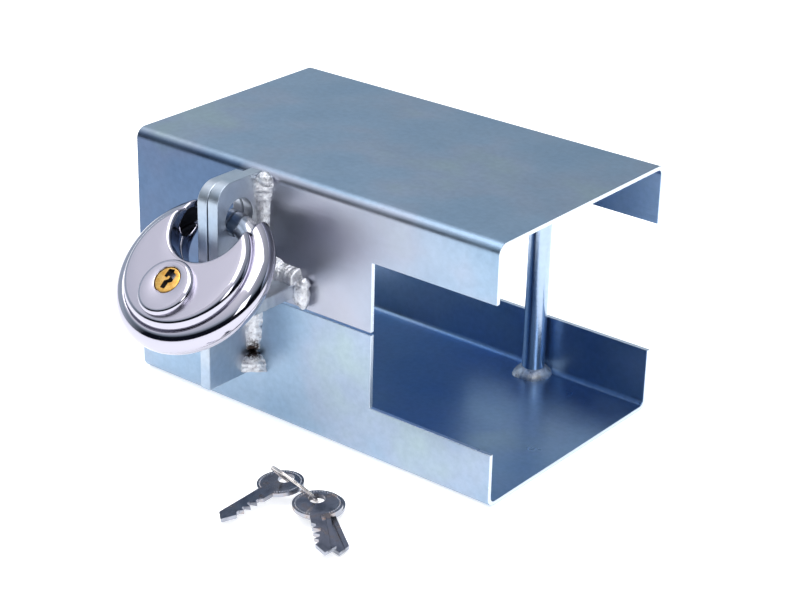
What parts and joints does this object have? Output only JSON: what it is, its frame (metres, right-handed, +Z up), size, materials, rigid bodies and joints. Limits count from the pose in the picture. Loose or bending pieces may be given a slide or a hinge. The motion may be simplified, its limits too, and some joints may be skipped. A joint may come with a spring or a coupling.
{
  "type": "trailer coupling lock box",
  "caption": "Hinged box of two bent zinc-plated steel channels that closes round a trailer coupling and is locked through its lugs by a round disc padlock.",
  "frame": {"origin": "middle of the flat underside of the lower channel", "axes": "+X towards the open end with the windows, -Y to the front with the lugs and the padlock, +Z up"},
  "size_m": [0.1852, 0.196, 0.11],
  "materials": {
    "zinc_plate": "bright blue-passivated zinc plate on bent sheet steel, faintly iridescent",
    "weld_bead": "zinc-plated weld metal, rippled, with a few scorched spots",
    "polished_stainless": "mirror-polished stainless sheet",
    "hard_chrome": "polished hardened bar",
    "die_cast_zinc": "raw die-cast zinc alloy",
    "turned_brass": "turned brass, faint turning rings",
    "spring_wire": "drawn spring wire",
    "hardened_steel": "ground hardened steel",
    "nickel_plate": "nickel-plated stamped brass",
    "ring_wire": "bright nickel-plated spring wire"
  },
  "bodies": {
    "lower": {"lower_shell": "zinc_plate", "lower_lug": "zinc_plate", "lower_lug_weld": "weld_bead", "lower_lug_weld_foot": "weld_bead", "locking_bar": "zinc_plate", "locking_bar_weld": "weld_bead", "hinge_leaf_lower": "zinc_plate", "hinge_pin": "hardened_steel", "hinge_weld_lower": "weld_bead"},
    "upper": {"upper_shell": "zinc_plate", "upper_lug": "zinc_plate", "gusset_plate": "zinc_plate", "upper_lug_weld": "weld_bead", "gusset_weld": "weld_bead", "gusset_weld_end": "weld_bead", "hinge_leaf_upper": "zinc_plate", "hinge_weld_upper": "weld_bead"},
    "padlock": {"padlock_front_shell": "polished_stainless", "padlock_back_shell": "polished_stainless", "keyway_guard": "polished_stainless", "lock_core": "die_cast_zinc", "driver_pin_1": "turned_brass", "driver_pin_2": "turned_brass", "driver_pin_3": "turned_brass", "driver_pin_4": "turned_brass", "driver_spring_1": "spring_wire", "driver_spring_2": "spring_wire", "driver_spring_3": "spring_wire", "driver_spring_4": "spring_wire"},
    "shackle": {"shackle": "hard_chrome"},
    "plug": {"lock_plug": "turned_brass", "plug_clip": "hardened_steel", "plug_cam": "hardened_steel", "key_pin_1": "turned_brass", "key_pin_2": "turned_brass", "key_pin_3": "turned_brass", "key_pin_4": "turned_brass"},
    "key_ring": {"key_ring": "ring_wire"},
    "key_1": {"key_1": "nickel_plate"},
    "key_2": {"key_2": "nickel_plate"},
    "key_3": {"key_3": "nickel_plate"}
  },
  "joints": [
    {"name": "lid_open", "type": "hinge", "parent": "lower", "child": "upper", "pos_m": [0, 0.0603, 0.082], "axis": [-1, 0, 0], "range_deg": [0, 105]},
    {"name": "padlock_swing", "type": "hinge", "parent": "upper", "child": "padlock", "pos_m": [-0.0281, -0.0695, 0.0913], "axis": [-1, 0, 0], "range_deg": [0, 40]},
    {"name": "shackle_turn", "type": "hinge", "parent": "padlock", "child": "shackle", "pos_m": [-0.0281, -0.08935, 0.07405], "axis": [0, -0.6561, 0.7547], "range_deg": [-42, 63]},
    {"name": "plug_turn", "type": "hinge", "parent": "padlock", "child": "plug", "pos_m": [-0.0281, -0.09652, 0.06781], "axis": [0, -0.6561, 0.7547], "range_deg": [-75.6, 113.4]},
    {"name": "keys_lift", "type": "slide", "parent": "lower", "child": "key_ring", "axis": [0, 0, 1], "range_m": [0, 0.06]},
    {"name": "key_1_swivel", "type": "hinge", "parent": "key_ring", "child": "key_1", "pos_m": [0.02571, -0.09639, 0.00546], "axis": [0, 0, 1], "range_deg": [-5, 2]},
    {"name": "key_2_swivel", "type": "hinge", "parent": "key_ring", "child": "key_2", "pos_m": [0.04515, -0.10112, 0.00611], "axis": [0, 0, 1], "range_deg": [-5, 5]},
    {"name": "key_3_swivel", "type": "hinge", "parent": "key_ring", "child": "key_3", "pos_m": [0.04372, -0.0987, 0.00381], "axis": [0, 0, 1], "range_deg": [-5, 5]}
  ],
  "couplings": [
    {"joint": "plug_turn", "follows": "shackle_turn", "ratio": 1.8}
  ]
}
